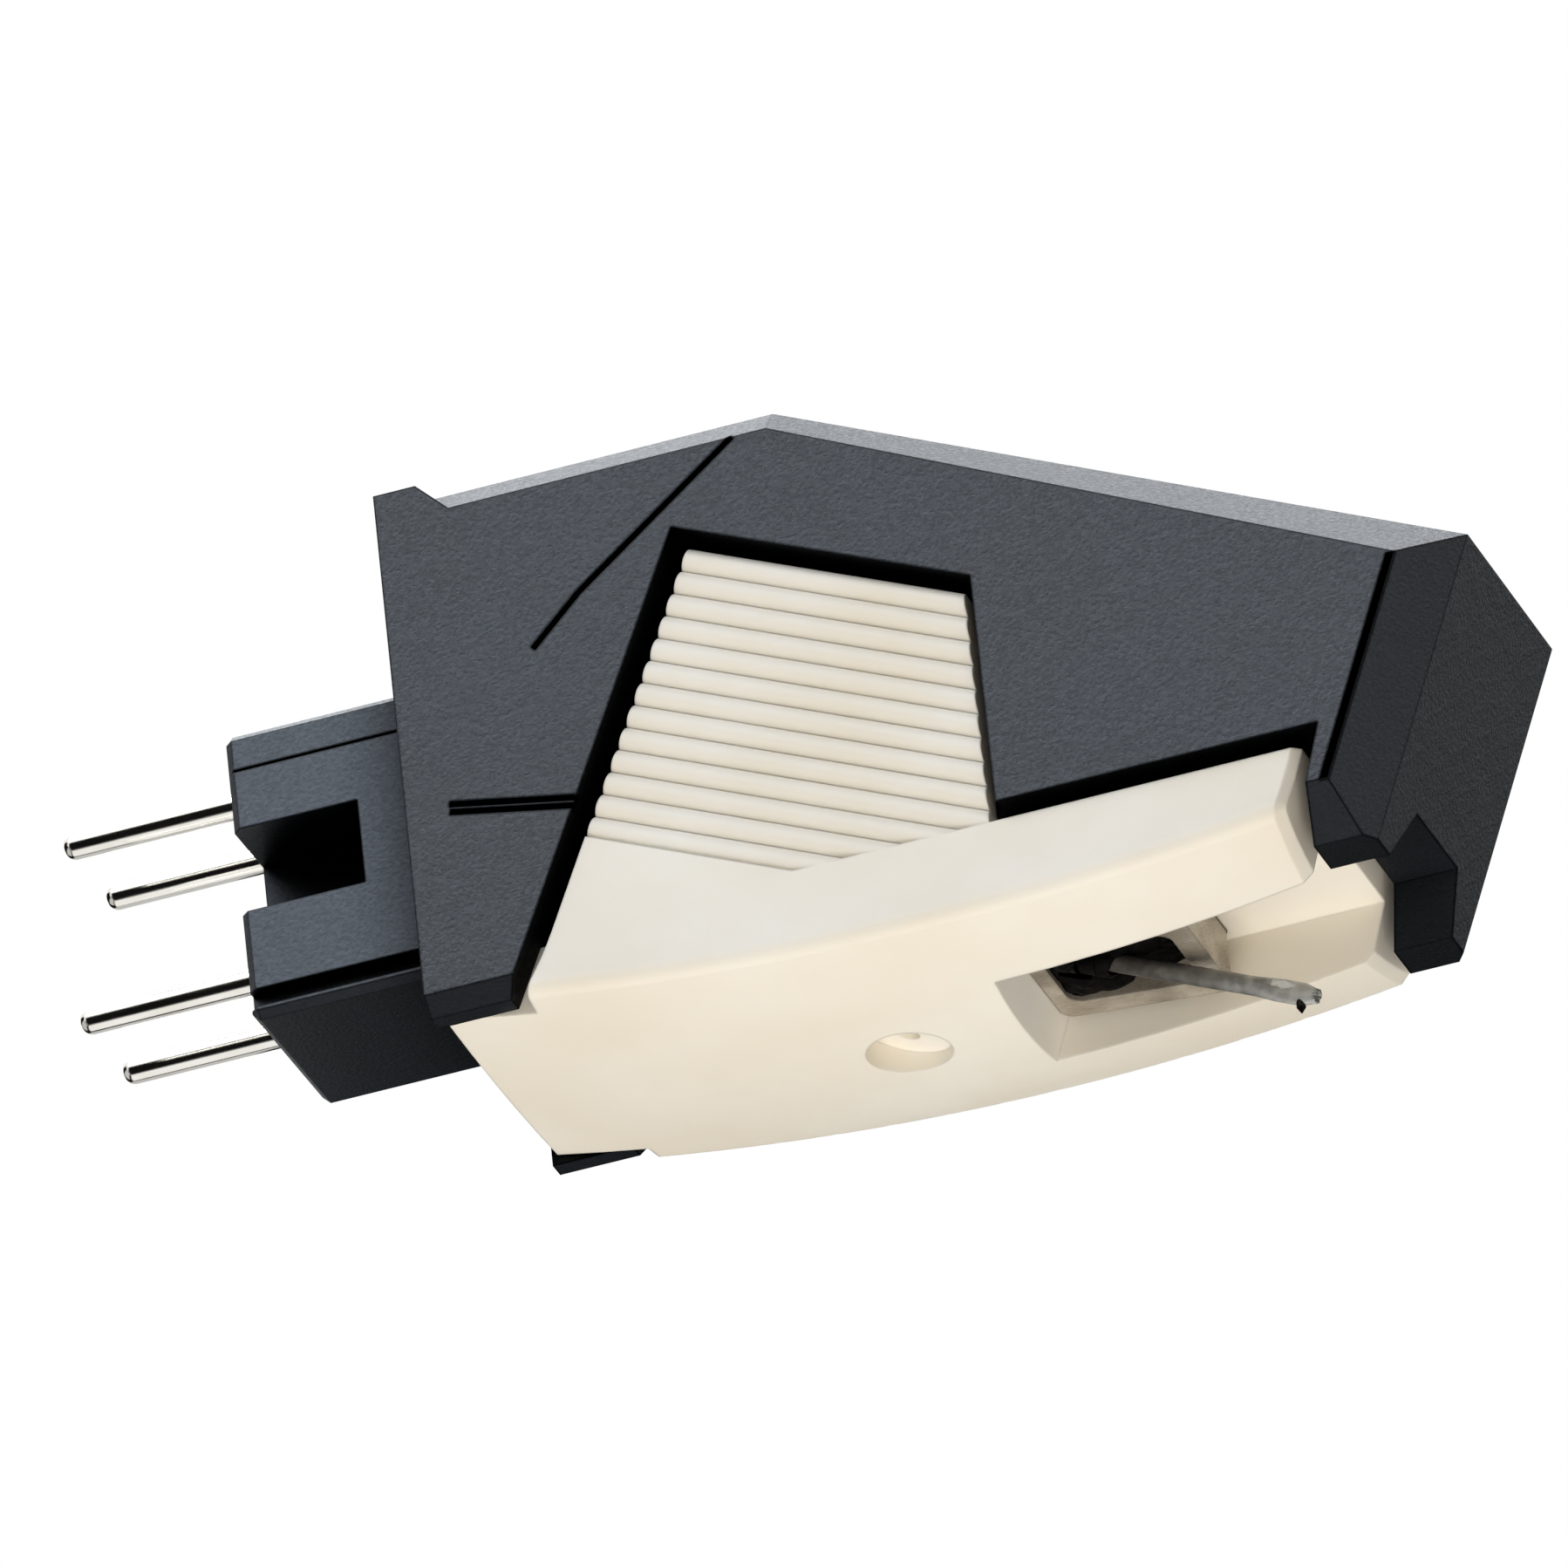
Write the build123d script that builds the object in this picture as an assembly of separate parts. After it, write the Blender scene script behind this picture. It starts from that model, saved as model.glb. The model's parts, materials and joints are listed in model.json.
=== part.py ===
from build123d import *
from math import cos, radians, sin, tan
import os

os.makedirs("parts", exist_ok=True)

# A plug-in moving-magnet turntable cartridge with a pull-off stylus holder.
# Millimetres. X points to the nose, Y to the left, Z up, with the stylus below.
# The model is drawn in stations: X is measured from the body's rear shoulder, Y from the
# middle plane and Z from the middle of the four plug pins. Finished pieces are then moved
# so that the origin lies at the rear face of the connector block.

# Body shell, driving sizes
body_width = 10.5
level_top = 8.18
apex_station = 10.45
nose_station = 27.76
slope_angle = 23.9
nose_rake = 22.5
tab_bottom = -6.56
nose_bottom = -7.27
bay_ceiling = -4.6
nose_depth = 3.92
nose_wall = 1.55
flange_length = 1.13
flange_ramp = 0.82

# Body shell, bevels
top_bevel_in = 0.9
top_bevel_down = 0.85
nose_bevel_in = 1.81
nose_bevel_back = 1.46
nose_bevel_down = 0.94
nose_chamfer_in = 1.38
nose_chamfer_up = 1.09
nose_seam_width = 0.22
nose_seam_depth = 0.4
tab_chamfer_in = 0.41
tab_chamfer_up = 0.5

# Body shell, hollows
rear_wall = 1.2
roof_wall = 1.25
chamber_half_width = 3.2
chamber_to_bay = 0.84
window_rear = 7.71
window_top = 5.24
window_front = 15.33
window_rear_lean = 25.2
rib_angle = 24.2
pocket_depth = 1.25
notch_half_top = 1.64
notch_half_foot = 2.525
notch_height = 1.4

# Score marks on the right side face, as side-view points
score_width = 0.17
score_depth = 0.25
long_score_top = (9.55, 7.33)
long_score_bend = (5.12, 4.06)
long_score_foot = (3.78, 2.8)
short_score_rear = (1.18, -0.95)
short_score_front = (4.49, -1.62)
short_score_step = -0.22

# Connector block and pins
plug_length = 5.35
plug_width = 5.58
plug_top = 3.88
plug_bottom = -4.19
plug_edge_chamfer = 0.2
plug_seat_gap = 0.03
plug_flange_thickness = 0.6
plug_flange_rise = 0.5
screw_slot_height = 2.35
screw_slot_depth = 2.3
screw_slot_front = 1.98
side_groove_top = -3.4
side_groove_height = 0.5
side_groove_depth = 0.4
parting_line_height = 2.78
parting_line_width = 0.07
pin_radius = 0.335
pin_shank_radius = 0.26
pin_pitch_y = 3.1
pin_pitch_z = 5.0
pin_reach = 4.85
pin_inner_reach = 0.9
pin_tip_chamfer = 0.17

# Stylus holder
flank_top = -4.97
hull_rear = 0.18
hull_middle = 12.0
keel_rear = -6.45
keel_middle = -8.2
keel_front = -7.3
chine_flare = 0.09
chine_rear = -6.24
chine_middle = -7.38
chine_front = -6.62
chine_round = 0.35
holder_front_gap = 0.5
holder_front_chamfer = 0.22
tab_thickness = 1.05
tongue_gap = 0.08
grip_recess = 0.3
grip_inner_gap = 0.15
grip_gap_rear = 0.52
grip_gap_top = 0.36
grip_gap_front = 0.3
rib_count = 13
rib_pitch = 0.625
rib_height = 0.2
trough_half_width = 2.43
trough_ceiling = -5.87
trough_to_sleeve = 0.47
trough_rear_lean = 21.3
gate_hole_station = 10.9
gate_hole_radius = 1.1
gate_hole_depth = 0.6
gate_floor_tilt = 18.0
core_hole_radius = 0.3

# Sleeve, damper and moving system
sleeve_to_bay = 9.44
sleeve_length = 4.5
sleeve_width = 4.4
sleeve_rear_wall = 0.42
sleeve_front_wall = 0.6
sleeve_side_wall = 0.75
sleeve_corner = 0.35
sleeve_inner_corner = 0.45
sleeve_top = -5.0
sleeve_rim_rear = -7.05
sleeve_rim_front = -7.42
sleeve_seat_gap = 0.02
damper_face = -7.02
damper_thickness = 0.55
cantilever_angle = 24.35
sleeve_to_pivot = 1.5
pivot_height = -6.76
cantilever_radius = 0.25
cantilever_bore = 0.17
cantilever_reach = 6.25
cantilever_tail = 0.95
collar_radius = 0.42
collar_length = 0.45
flat_length = 0.75
flat_taper = 0.7
flat_half_width = 0.16
flat_half_height = 0.29
tip_reach = 5.74
tip_drop = 0.55
tip_shank_radius = 0.12
tip_shank_height = 0.46
tip_cone_height = 0.16
tip_point_radius = 0.015
ring_radius = 0.45
ring_length = 0.55
ring_behind_pivot = 0.6
magnet_side = 0.42
magnet_length = 1.05
magnet_spread = 45.0
wire_radius = 0.06
wire_start = 0.6
anchor_start = 1.9
anchor_length = 0.9
anchor_radius = 0.35
running_gap = 0.03
swing_gap = 0.12

# Generator inside the body
carrier_thickness = 0.6
carrier_gap = 0.05
carrier_window_length = 3.0
carrier_window_half_width = 2.2
core_offset = 1.45
core_thickness = 0.8
core_half_length = 3.6
core_bar = 1.0
core_roof_gap = 0.57
pole_gap = 1.0
pole_width = 0.6
pole_tip = -4.85
bobbin_wall = 0.3
bobbin_gap = 0.03
bobbin_flange = 0.35
bobbin_flange_half = 1.2
bobbin_end_gap = 0.3
winding_margin = 0.12
winding_round = 0.36
shield_thickness = 0.24
shield_margin = 0.1
shield_rise = 0.4
lead_radius = 0.1
lead_end_gap = 0.03
lead_offset_y = 0.87
lead_offset_z = 0.75

# Room left past a face so that a cut goes right through it
past = 1.0

# Values worked out from the driving sizes
half_width = body_width / 2
slope = tan(radians(slope_angle))
rake = tan(radians(nose_rake))
bay_front = nose_station - nose_depth
chamber_front = bay_front - chamber_to_bay
nose_top = level_top - slope * (nose_station - apex_station)
nose_foot = nose_station - rake * (nose_top - nose_bottom)
bay_front_foot = nose_foot - nose_wall
bay_front_lean = (bay_front - bay_front_foot) / (bay_ceiling - nose_bottom)
pocket_floor = half_width - pocket_depth
grip_face = half_width - grip_recess
grip_inner = pocket_floor + grip_inner_gap
rear_lean = tan(radians(window_rear_lean))
rib_slope = tan(radians(rib_angle))
plug_half_width = plug_width / 2
carrier_top = bay_ceiling + carrier_thickness
along_ribs = Vector(cos(radians(rib_angle)), 0, -sin(radians(rib_angle)))
across_ribs = Vector(sin(radians(rib_angle)), 0, cos(radians(rib_angle)))
flank_half_width = grip_face
chine_half_width = half_width + chine_flare
tongue_half_width = half_width - tab_thickness
sleeve_rear = bay_front - sleeve_to_bay
sleeve_front = sleeve_rear + sleeve_length
trough_rear = sleeve_rear - trough_to_sleeve
pivot_station = sleeve_rear + sleeve_to_pivot
tip_axis = Vector(cos(radians(cantilever_angle)), 0, -sin(radians(cantilever_angle)))
lift_axis = Vector(sin(radians(cantilever_angle)), 0, cos(radians(cantilever_angle)))
pivot = Vector(pivot_station, 0, pivot_height)
tip_station = (pivot + tip_axis * tip_reach).X
tip_point = (pivot + tip_axis * tip_reach).Z - tip_drop
magnet_root = pivot - tip_axis * ring_behind_pivot
magnet_reach = ring_radius + magnet_length
magnet_tip = magnet_root + lift_axis * (magnet_reach * cos(radians(magnet_spread)))
pole_station = magnet_tip.X
core_front_roof = level_top - roof_wall - slope * (pole_station + core_half_length - apex_station)
core_top = core_front_roof - core_roof_gap
shield_height = core_top + shield_rise

sides = (-1, 1)


# A side-view outline (X, Z) drawn across the width from y_low to y_high
def side_prism(points, y_low, y_high):
    face = make_face(Polyline(*points, close=True))
    return extrude(Plane.XZ.offset(-y_high) * face, amount=y_high - y_low)


# A cross-section outline (Y, Z) drawn along X from x_low to x_high
def section_prism(points, x_low, x_high):
    face = make_face(Polyline(*points, close=True))
    return extrude(Plane.YZ.offset(x_low) * face, amount=x_high - x_low)


# A box given by its lowest and highest corners
def corner_box(low, high):
    size = [high[i] - low[i] for i in range(3)]
    middle = [(high[i] + low[i]) / 2 for i in range(3)]
    return Pos(*middle) * Box(*size)


# A round bar from one point to another
def bar(start, end, radius):
    direction = end - start
    return Plane(origin=start, z_dir=direction) * Cylinder(
        radius, direction.length, align=(Align.CENTER, Align.CENTER, Align.MIN))


# Cuts away what lies on the far side of the plane through three points
def trim(solid, a, b, c, inside):
    a, b, c = Vector(*a), Vector(*b), Vector(*c)
    normal = (b - a).cross(c - a)
    if normal.dot(inside - a) > 0:
        normal = -normal
    return split(solid, bisect_by=Plane(origin=a, z_dir=normal), keep=Keep.BOTTOM)


# The station, at a height, of a line a distance forward of the window's rear edge
def rear_line(forward, height):
    return window_rear + forward - rear_lean * (window_top - height)


# The height, at a station, of a line a distance below the window's top edge
def top_line(drop, station):
    return window_top - drop - rib_slope * (station - window_rear)


# The side-view point where two such lines cross
def line_corner(forward, drop):
    station = window_rear + (forward - rear_lean * drop) / (1 + rear_lean * rib_slope)
    return (station, top_line(drop, station))


# A point of the moving system, measured forward from its pivot along the cantilever
def on_cantilever(distance):
    return pivot + tip_axis * distance


def save(shape, name):
    export_step(Pos(plug_length, 0, 0) * shape, "parts/" + name + ".step")


# Body shell: a bevelled wedge, hollow and open below
def body_outer():
    outline = [
        (0, tab_bottom),
        (0, level_top),
        (apex_station, level_top),
        (nose_station, nose_top),
        (nose_foot, nose_bottom),
        (bay_front_foot, nose_bottom),
        (bay_front, bay_ceiling),
        (rear_line(0, bay_ceiling), bay_ceiling),
        (rear_line(0, tab_bottom), tab_bottom),
    ]
    solid = side_prism(outline, -half_width, half_width)
    inside = Vector(apex_station, 0, 0)
    bevel_foot = level_top - top_bevel_down
    nose_corner = nose_station - nose_bevel_back
    nose_corner_height = nose_top - nose_bevel_down
    for side in sides:
        flank = side * half_width
        level_edge = (0, side * (half_width - top_bevel_in), level_top)
        nose_edge = (nose_station, side * (half_width - nose_bevel_in), nose_top)
        apex_foot = (apex_station, flank, bevel_foot)
        nose_flank = (nose_corner, flank, nose_corner_height)
        nose_flank_low = (nose_corner - rake * past, flank, nose_corner_height - past)
        solid = trim(solid, (0, flank, bevel_foot), apex_foot, level_edge, inside)
        solid = trim(solid, apex_foot, nose_flank, nose_edge, inside)
        solid = trim(solid, nose_flank, nose_flank_low, nose_edge, inside)
        solid -= foot_chamfer(side, nose_bottom, nose_chamfer_in, nose_chamfer_up,
                              apex_station, nose_station)
        solid -= foot_chamfer(side, tab_bottom, tab_chamfer_in, tab_chamfer_up, -past, apex_station)
    flange = [
        (0, bevel_foot - past),
        (0, level_top),
        (flange_length, level_top),
        (flange_length + flange_ramp, bevel_foot),
        (flange_length + flange_ramp, bevel_foot - past),
    ]
    return solid + side_prism(flange, -half_width, half_width)


# The wedge that a chamfer takes off a lower side edge
def foot_chamfer(side, bottom, inwards, upwards, x_low, x_high):
    points = [
        (side * half_width, bottom),
        (side * (half_width - inwards), bottom),
        (side * half_width, bottom + upwards),
    ]
    return section_prism(points, x_low, x_high)


# The recess in each side wall that the holder's grip slides into
def window_pocket(side):
    outline = [
        line_corner(0, 0),
        (window_front, top_line(0, window_front)),
        (window_front, tab_bottom - past),
        (rear_line(0, tab_bottom - past), tab_bottom - past),
    ]
    low, high = sorted((side * pocket_floor, side * (half_width + past)))
    return side_prism(outline, low, high)


# The room for the generator, open into the bay below
def chamber():
    roof = level_top - roof_wall
    front_roof = roof - slope * (chamber_front - apex_station)
    mouth = bay_ceiling - past
    outline = [
        (rear_wall, mouth),
        (rear_wall, roof),
        (apex_station, roof),
        (chamber_front, front_roof),
        (chamber_front - rake * (front_roof - mouth), mouth),
    ]
    return side_prism(outline, -chamber_half_width, chamber_half_width)


# The flared notch under the nose through which the stylus is seen from the front
def nose_notch():
    top = nose_bottom + notch_height
    flare = (notch_half_foot - notch_half_top) / notch_height
    foot = notch_half_foot + flare * past
    points = [
        (-notch_half_top, top),
        (notch_half_top, top),
        (foot, nose_bottom - past),
        (-foot, nose_bottom - past),
    ]
    return section_prism(points, bay_front_foot - past, nose_station)


# The fine seam in the side face along the bevelled front corner
def nose_seam(side):
    top = nose_top - nose_bevel_down
    foot = nose_bottom + nose_chamfer_up
    top_station = nose_station - nose_bevel_back
    foot_station = top_station - rake * (top - foot)
    outline = [
        (top_station - nose_seam_width, top),
        (top_station, top),
        (foot_station, foot),
        (foot_station - nose_seam_width, foot),
    ]
    low, high = sorted((side * (half_width - nose_seam_depth), side * (half_width + past)))
    return side_prism(outline, low, high)


# One straight score mark in the right side face, from one side-view point to another
def score(start, end):
    a, b = Vector(*start), Vector(*end)
    across = (b - a).normalized().rotate(Axis.Z, 90) * (score_width / 2)
    corners = [a - across, b - across, b + across, a + across]
    outline = [(corner.X, corner.Y) for corner in corners]
    return side_prism(outline, -half_width - past, -half_width + score_depth)


def body_shell():
    solid = body_outer()
    for side in sides:
        solid -= window_pocket(side)
        solid -= nose_seam(side)
    solid -= chamber()
    channel_half = tongue_half_width + tongue_gap
    solid -= corner_box((-past, -channel_half, tab_bottom - past), (window_rear, channel_half, bay_ceiling))
    seat_half = plug_half_width + plug_seat_gap
    solid -= corner_box((-past, -seat_half, plug_bottom - plug_seat_gap),
                        (rear_wall + past, seat_half, plug_top + plug_seat_gap))
    solid -= nose_notch()
    solid -= score(long_score_top, long_score_bend)
    solid -= score(long_score_bend, long_score_foot)
    for step in (0, short_score_step):
        rear = (short_score_rear[0], short_score_rear[1] + step)
        front = (short_score_front[0], short_score_front[1] + step)
        solid -= score(rear, front)
    return solid


# A slot in one side of the plug, open to the rear
def side_slot(side, depth, low, high, front):
    y_low, y_high = sorted((side * (plug_half_width - depth), side * (plug_half_width + past)))
    return corner_box((-plug_length - past, y_low, low), (front, y_high, high))


# Connector block: the plug with its screw slots, and the flange that stops it inside the rear wall
def connector_block():
    plug = corner_box((-plug_length, -plug_half_width, plug_bottom),
                      (rear_wall + past, plug_half_width, plug_top))
    rear_edges = plug.faces().sort_by(Axis.X)[0].edges()
    long_edges = plug.edges().filter_by(Axis.X)
    plug = chamfer(rear_edges + long_edges, plug_edge_chamfer)
    flange_front = rear_wall + plug_seat_gap + plug_flange_thickness
    flange_half = chamber_half_width - carrier_gap
    flange_bottom = carrier_top + carrier_gap
    plug -= corner_box((flange_front, -half_width, plug_bottom - past),
                       (flange_front + past, half_width, level_top))
    plug -= corner_box((rear_wall, -half_width, plug_bottom - past),
                       (flange_front, half_width, flange_bottom))
    plug += corner_box((rear_wall + plug_seat_gap, -flange_half, flange_bottom),
                       (flange_front, flange_half, plug_top + plug_flange_rise))
    for side in sides:
        slot_half = screw_slot_height / 2
        plug -= side_slot(side, screw_slot_depth, -slot_half, slot_half, -screw_slot_front)
        plug -= side_slot(side, side_groove_depth, side_groove_top - side_groove_height, side_groove_top, 0)
        plug -= side_slot(side, parting_line_width, parting_line_height,
                          parting_line_height + parting_line_width, 0)
    for y in (-pin_pitch_y / 2, pin_pitch_y / 2):
        for z in (-pin_pitch_z / 2, pin_pitch_z / 2):
            plug -= bar(Vector(-plug_length - past, y, z), Vector(rear_wall + past, y, z), pin_shank_radius)
    return plug


# A plug pin with a chamfered tip and a thinner shank that runs through the block into the chamber
def pin(y, z):
    rear = Vector(-plug_length - pin_reach, y, z)
    shoulder = Vector(-plug_length, y, z)
    front = Vector(rear_wall + pin_inner_reach, y, z)
    rod = bar(rear, shoulder, pin_radius)
    rod = chamfer(rod.faces().sort_by(Axis.X)[0].edges(), pin_tip_chamfer)
    return rod + bar(shoulder, front, pin_shank_radius)


# One cross-section of the holder's hull: flanks that flare downwards, rounded chines, a curved belly
def hull_section(station, keel, chine):
    curves = [
        Line((-flank_half_width, flank_top), (flank_half_width, flank_top)),
        ThreePointArc((-chine_half_width, chine), (0, keel), (chine_half_width, chine)),
    ]
    for side in sides:
        flank_start = (side * flank_half_width, flank_top)
        curves.append(TangentArc(flank_start, (side * chine_half_width, chine), tangent=(0, -1)))
    face = make_face(curves)
    chines = face.vertices().sort_by(Axis.X)
    face = fillet([chines[0], chines[-1]], chine_round)
    return Plane.YZ.offset(station) * face


def holder_front(height):
    return bay_front - holder_front_gap - bay_front_lean * (bay_ceiling - height)


# The holder's boat-shaped underside, with a tongue at the rear that goes between the body's tabs
def hull():
    floor = keel_middle - past
    sections = [
        hull_section(hull_rear, keel_rear, chine_rear),
        hull_section(hull_middle, keel_middle, chine_middle),
        hull_section(bay_front, keel_front, chine_front),
    ]
    front_cut = [
        (holder_front(flank_top + past), flank_top + past),
        (bay_front + past, flank_top + past),
        (bay_front + past, floor),
        (holder_front(floor), floor),
    ]
    rear_cut = [
        (hull_rear - past, floor),
        (hull_rear - past, flank_top + past),
        (rear_line(grip_gap_rear, flank_top + past), flank_top + past),
        (rear_line(grip_gap_rear, floor), floor),
    ]
    solid = loft(sections)
    solid -= side_prism(front_cut, -half_width - past, half_width + past)
    front_edges = solid.faces().sort_by(Axis.X)[-1].edges()
    solid = chamfer(front_edges.sort_by(Axis.Z)[:-1], holder_front_chamfer)
    for side in sides:
        low, high = sorted((side * tongue_half_width, side * (half_width + past)))
        solid -= side_prism(rear_cut, low, high)
    return solid


# A finger grip: a plate with rounded ribs on its upper part, smooth below
def grip(side):
    front = window_front - grip_gap_front
    outline = [
        line_corner(grip_gap_rear, grip_gap_top),
        (front, top_line(grip_gap_top, front)),
        (front, flank_top),
        (rear_line(grip_gap_rear, flank_top), flank_top),
    ]
    smooth_drop = grip_gap_top + rib_count * rib_pitch / cos(radians(rib_angle))
    ribbed_zone = [
        (0, top_line(0, 0)),
        (window_front, top_line(0, window_front)),
        (window_front, top_line(smooth_drop, window_front)),
        (0, top_line(smooth_drop, 0)),
    ]
    low, high = sorted((side * grip_inner, side * grip_face))
    valley_low, valley_high = sorted((side * (grip_face - rib_height), side * (grip_face + past)))
    plate = side_prism(outline, low, high) - side_prism(ribbed_zone, valley_low, valley_high)
    return plate + (ribs(side) & side_prism(outline, -half_width, half_width))


# The ribs as one wavy bar, its profile drawn across the ribs and run along them
def ribs(side):
    origin = Vector(0, side * (grip_face - rib_height), top_line(grip_gap_top, 0))
    profile_plane = Plane(origin=origin, x_dir=-across_ribs, z_dir=along_ribs)
    outward = side * profile_plane.y_dir.Y
    curves = []
    for i in range(rib_count):
        start = i * rib_pitch
        crest = (start + rib_pitch / 2, outward * rib_height)
        curves.append(ThreePointArc((start, 0), crest, (start + rib_pitch, 0)))
    width = rib_count * rib_pitch
    back = -outward * rib_height
    curves.append(Polyline((width, 0), (width, back), (0, back), (0, 0)))
    return extrude(profile_plane * make_face(curves), amount=nose_station)


# The trough that leaves the stylus free, open to the front
def trough():
    lean = tan(radians(trough_rear_lean))
    floor = keel_middle - past
    outline = [
        (trough_rear - lean * (keel_middle - floor), floor),
        (trough_rear + lean * (trough_ceiling - keel_middle), trough_ceiling),
        (bay_front + past, trough_ceiling),
        (bay_front + past, floor),
    ]
    return side_prism(outline, -trough_half_width, trough_half_width)


# A rounded upright block, given by its ends, its width and its height
def rounded_block(rear, front, width, corner, low, high):
    shape = RectangleRounded(front - rear, width, corner)
    return extrude(Plane.XY.offset(low) * (Pos((rear + front) / 2, 0) * shape), amount=high - low)


# The space inside the sleeve
def sleeve_opening(low, high):
    width = sleeve_width - 2 * sleeve_side_wall
    return rounded_block(sleeve_rear + sleeve_rear_wall, sleeve_front - sleeve_front_wall, width,
                         sleeve_inner_corner, low, high)


# The round recess in the keel, its floor slanted, with a small deeper hole in it
def gate_recess():
    floor_middle = keel_middle + gate_hole_depth
    mouth = Vector(gate_hole_station, 0, keel_middle - past)
    recess = bar(mouth, Vector(gate_hole_station, 0, floor_middle + past), gate_hole_radius)
    floor = Plane(origin=(gate_hole_station, 0, floor_middle)).rotated((0, gate_floor_tilt, 0))
    recess = split(recess, bisect_by=floor, keep=Keep.BOTTOM)
    return recess + floor * Cylinder(core_hole_radius, gate_hole_depth)


def stylus_holder():
    solid = hull()
    for side in sides:
        solid += grip(side)
    solid -= trough()
    solid -= rounded_block(sleeve_rear - sleeve_seat_gap, sleeve_front + sleeve_seat_gap,
                           sleeve_width + 2 * sleeve_seat_gap, sleeve_corner,
                           sleeve_rim_front, flank_top + past)
    solid -= bar(on_cantilever(-anchor_start - anchor_length), pivot, anchor_radius)
    return solid - gate_recess()


# Metal sleeve: a rounded upright frame with its mouth facing down, the rim lower at the front
def cantilever_sleeve():
    frame = rounded_block(sleeve_rear, sleeve_front, sleeve_width, sleeve_corner,
                          sleeve_rim_front, sleeve_top)
    under_rim = [
        (sleeve_rear, sleeve_rim_rear),
        (sleeve_front, sleeve_rim_front),
        (sleeve_rear, sleeve_rim_front),
    ]
    frame -= side_prism(under_rim, -sleeve_width, sleeve_width)
    frame -= sleeve_opening(sleeve_rim_front - past, sleeve_top + past)
    return frame - bar(on_cantilever(-anchor_start), pivot, anchor_radius)


# Rubber damper: fills the sleeve's mouth round the pivot, with room for the magnets' ring to swing
def damper():
    slab = sleeve_opening(damper_face, damper_face + damper_thickness)
    half_collar = collar_length / 2
    slab -= bar(on_cantilever(-half_collar), on_cantilever(half_collar), collar_radius + running_gap)
    slab -= bar(on_cantilever(-cantilever_reach), on_cantilever(-half_collar), ring_radius + swing_gap)
    return slab - bar(pivot, on_cantilever(cantilever_reach), cantilever_radius + running_gap)


# Collar on the cantilever at its pivot
def pivot_collar():
    half_collar = collar_length / 2
    body = bar(on_cantilever(-half_collar), on_cantilever(half_collar), collar_radius)
    bore = cantilever_radius + running_gap
    return body - bar(on_cantilever(-collar_length), on_cantilever(collar_length), bore)


# Cantilever: an aluminium tube, its front end pressed flat from both sides, where the tip sits
def cantilever():
    flat_start = cantilever_reach - flat_length
    taper_start = flat_start - flat_taper
    tube = bar(on_cantilever(-cantilever_tail), on_cantilever(taper_start), cantilever_radius)
    bore_end = on_cantilever(taper_start - cantilever_radius)
    tube -= bar(on_cantilever(-cantilever_reach), bore_end, cantilever_bore)
    round_end = Plane(origin=on_cantilever(taper_start), x_dir=(0, 1, 0), z_dir=tip_axis)
    flat_end = Plane(origin=on_cantilever(flat_start), x_dir=(0, 1, 0), z_dir=tip_axis)
    flat_shape = flat_end * SlotOverall(2 * flat_half_height, 2 * flat_half_width, rotation=90)
    taper = loft([round_end * Circle(cantilever_radius), flat_shape])
    blade = extrude(flat_shape, amount=flat_length)
    return tube + taper + blade - tip_shank()


def tip_shank():
    foot = Vector(tip_station, 0, tip_point + tip_cone_height)
    return bar(foot, foot + Vector(0, 0, tip_shank_height), tip_shank_radius)


# Diamond tip on its shank
def stylus_tip():
    cone = Pos(tip_station, 0, tip_point) * Cone(
        tip_point_radius, tip_shank_radius, tip_cone_height, align=(Align.CENTER, Align.CENTER, Align.MIN))
    return tip_shank() + cone


# Ring on the cantilever's tail that carries the two magnets
def magnet_ring():
    rear = magnet_root - tip_axis * (ring_length / 2)
    front = magnet_root + tip_axis * (ring_length / 2)
    return bar(rear, front, ring_radius) - bar(rear - tip_axis, front + tip_axis, cantilever_radius)


# A bar magnet standing out from the ring, up and to one side
def magnet(side):
    spread = radians(magnet_spread)
    direction = lift_axis * cos(spread) + Vector(0, side * sin(spread), 0)
    plane = Plane(origin=magnet_root, x_dir=tip_axis, z_dir=direction)
    rod = plane * (Pos(0, 0, ring_radius + magnet_length / 2) * Box(magnet_side, magnet_side, magnet_length))
    return rod - bar(magnet_root - tip_axis, magnet_root + tip_axis, ring_radius)


def tension_wire():
    return bar(on_cantilever(-anchor_start - anchor_length), on_cantilever(-wire_start), wire_radius)


def wire_anchor():
    rear = on_cantilever(-anchor_start - anchor_length)
    front = on_cantilever(-anchor_start)
    return bar(rear, front, anchor_radius) - bar(rear - tip_axis, front + tip_axis, wire_radius)


# Plate that closes the chamber and carries the generator
def coil_carrier():
    front_roof = level_top - roof_wall - slope * (chamber_front - apex_station)
    front = chamber_front - rake * (front_roof - bay_ceiling) - carrier_gap
    half = chamber_half_width - carrier_gap
    plate = corner_box((rear_wall + carrier_gap, -half, bay_ceiling), (front, half, carrier_top))
    window_half = carrier_window_length / 2
    return plate - corner_box((pole_station - window_half, -carrier_window_half_width, bay_ceiling - past),
                              (pole_station + window_half, carrier_window_half_width, carrier_top + past))


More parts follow.
